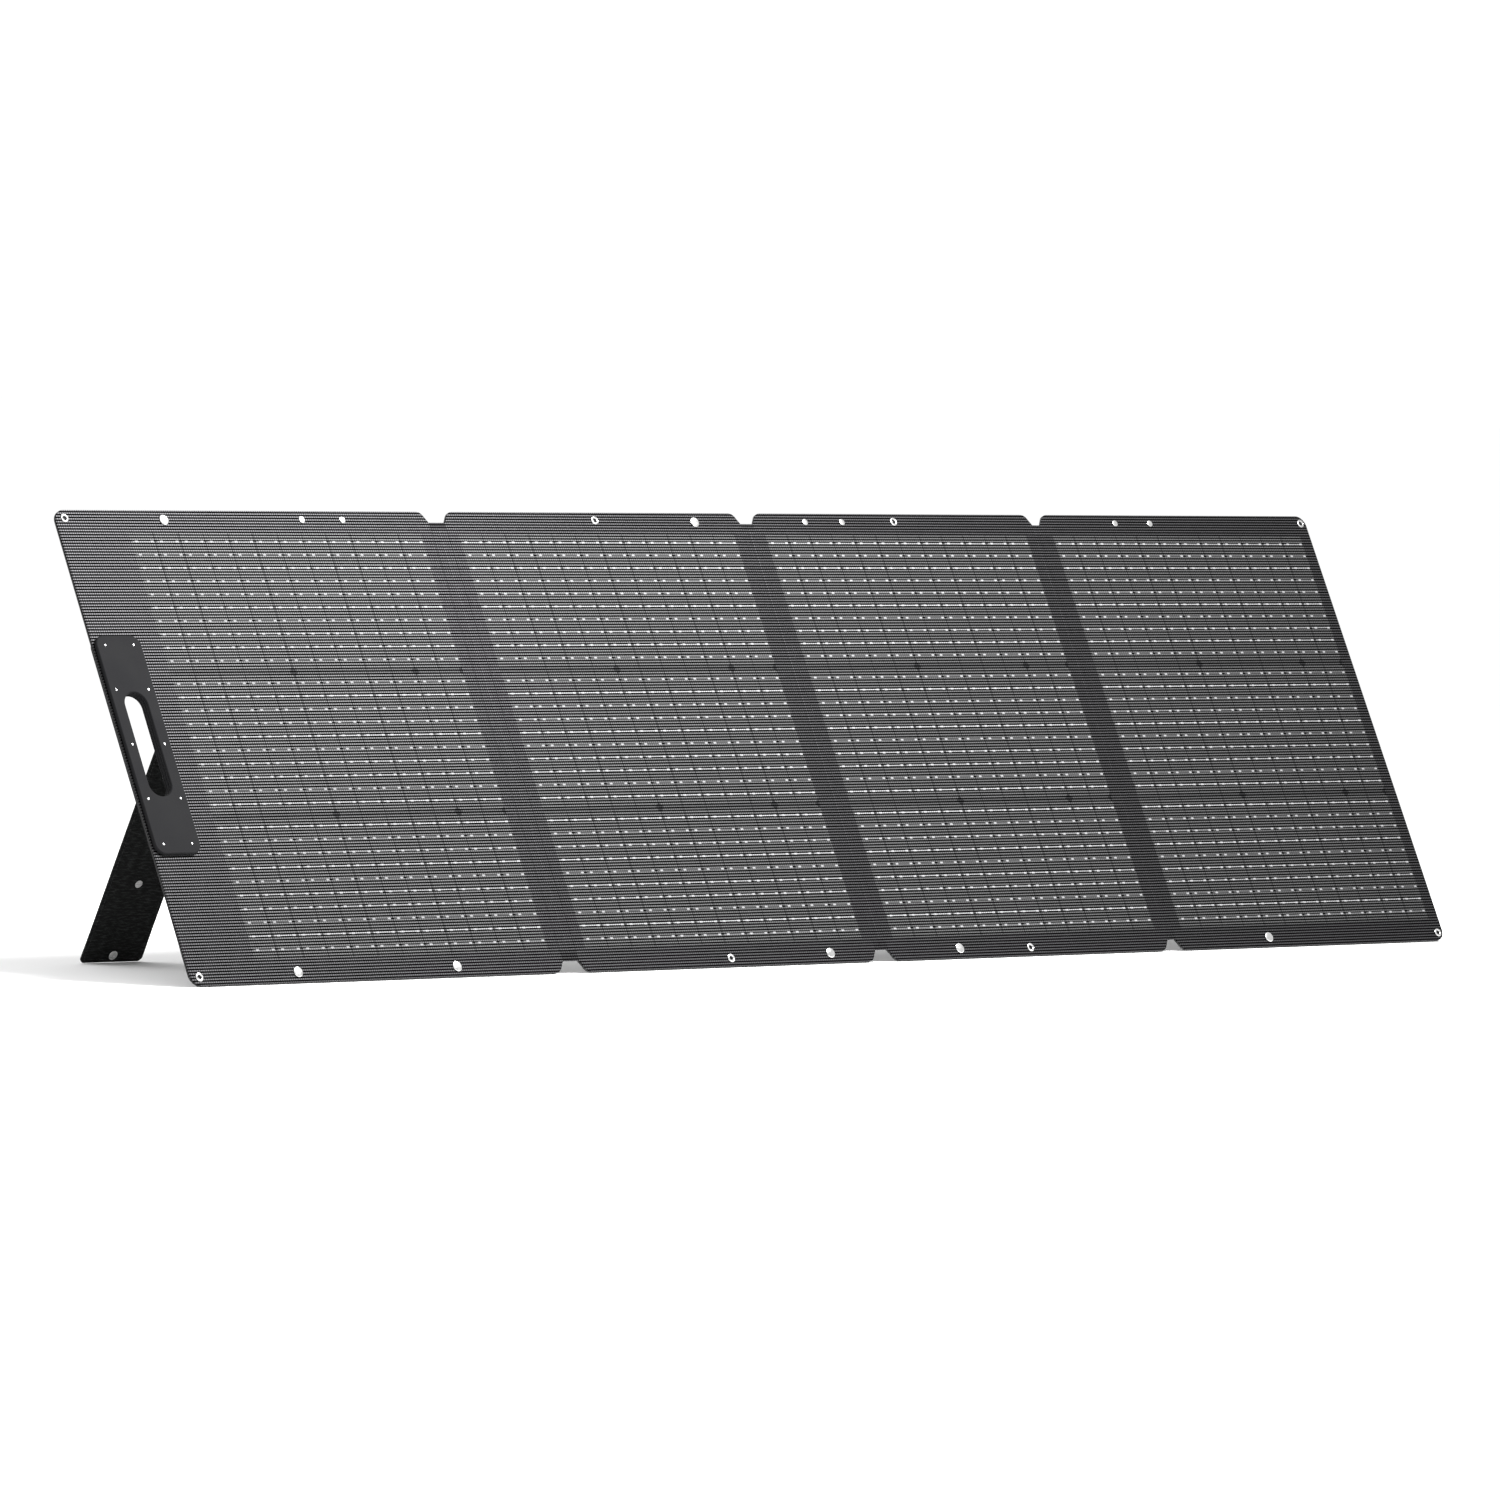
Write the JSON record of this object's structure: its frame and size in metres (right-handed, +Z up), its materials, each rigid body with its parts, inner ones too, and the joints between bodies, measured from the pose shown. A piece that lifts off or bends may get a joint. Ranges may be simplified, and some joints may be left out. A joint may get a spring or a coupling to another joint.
{
  "type": "folding solar panel",
  "caption": "Folding camping solar panel: a row of flat cell panels joined by soft folds, tilted back on swing-out legs, with a slotted carry handle at one end.",
  "frame": {"origin": "on the floor, under the middle of the open panel and its legs", "axes": "+X along the row of panels, from the handle end to the far end; +Y from the face towards the legs; +Z up"},
  "size_m": [2.12, 0.3662, 0.5515],
  "materials": {
    "film": "fine dotted relief, satin",
    "cell": "dark silicon with fine pale ribbons",
    "backing_board": "woven glass-fibre board",
    "case_fabric": "coated woven polyester",
    "leg_fabric": "woven polyester over a stiff board",
    "metal": "polished nickel",
    "handle_plastic": "matt moulded plastic",
    "box_plastic": "fine textured black plastic",
    "terminal_brass": "bright brass"
  },
  "bodies": {
    "panel_1": {"panel_1_face_sheet": "film", "panel_1_cells": "cell", "panel_1_board": "backing_board", "panel_1_rear_cover": "case_fabric", "fold_1_web_left": "case_fabric", "eyelet_1_bottom": "metal", "eyelet_1_top": "metal", "leg_1_stow_stud": "metal", "closure_stud_1": "metal", "edge_stud_1": "metal", "leg_1_hinge_flap": "leg_fabric", "handle_front": "handle_plastic", "handle_rear": "handle_plastic"},
    "panel_2": {"panel_2_face_sheet": "film", "panel_2_cells": "cell", "panel_2_board": "backing_board", "panel_2_rear_cover": "case_fabric", "fold_1_web_right": "case_fabric", "fold_2_web_left": "case_fabric", "eyelet_2_bottom": "metal", "eyelet_2_top": "metal", "leg_2_stow_stud": "metal", "closure_stud_2": "metal", "leg_2_hinge_flap": "leg_fabric", "junction_base": "box_plastic", "junction_lid": "box_plastic", "cable_gland": "box_plastic", "terminal_block": "terminal_brass", "bypass_diode_1": "box_plastic", "bypass_diode_2": "box_plastic"},
    "panel_3": {"panel_3_face_sheet": "film", "panel_3_cells": "cell", "panel_3_board": "backing_board", "panel_3_rear_cover": "case_fabric", "fold_2_web_right": "case_fabric", "fold_3_web_left": "case_fabric", "eyelet_3_bottom": "metal", "eyelet_3_top": "metal", "edge_stud_3": "metal"},
    "panel_4": {"panel_4_face_sheet": "film", "panel_4_cells": "cell", "panel_4_board": "backing_board", "panel_4_rear_cover": "case_fabric", "fold_3_web_right": "case_fabric", "eyelet_4_bottom": "metal", "eyelet_4_top": "metal", "leg_3_stow_stud": "metal", "leg_3_hinge_flap": "leg_fabric"},
    "leg_1": {"leg_1_board": "leg_fabric", "leg_1_foot_snap": "metal", "leg_1_rivet": "metal"},
    "leg_2": {"leg_2_board": "leg_fabric", "leg_2_foot_snap": "metal", "leg_2_rivet": "metal"},
    "leg_3": {"leg_3_board": "leg_fabric", "leg_3_foot_snap": "metal", "leg_3_rivet": "metal"}
  },
  "joints": [
    {"name": "fold_1", "type": "hinge", "parent": "panel_1", "child": "panel_2", "pos_m": [-0.4654, -0.04865, 0.28156], "axis": [0, -0.4633, -0.8862], "range_deg": [0, 179.95]},
    {"name": "fold_2", "type": "hinge", "parent": "panel_2", "child": "panel_3", "pos_m": [0.05, -0.0455, 0.27991], "axis": [0, -0.4633, -0.8862], "range_deg": [0, 179.95]},
    {"name": "fold_3", "type": "hinge", "parent": "panel_3", "child": "panel_4", "pos_m": [0.559, -0.04071, 0.27741], "axis": [0, -0.4633, -0.8862], "range_deg": [0, 179.95]},
    {"name": "leg_1_stow", "type": "hinge", "parent": "panel_1", "child": "leg_1", "pos_m": [-0.8955, 0.00404, 0.34316], "axis": [-1, 0, 0], "range_deg": [0, 55.04]},
    {"name": "leg_2_stow", "type": "hinge", "parent": "panel_2", "child": "leg_2", "pos_m": [-0.0384, 0.00404, 0.34316], "axis": [-1, 0, 0], "range_deg": [0, 55.04]},
    {"name": "leg_3_stow", "type": "hinge", "parent": "panel_4", "child": "leg_3", "pos_m": [0.735, 0.00404, 0.34316], "axis": [-1, 0, 0], "range_deg": [0, 55.04]}
  ]
}
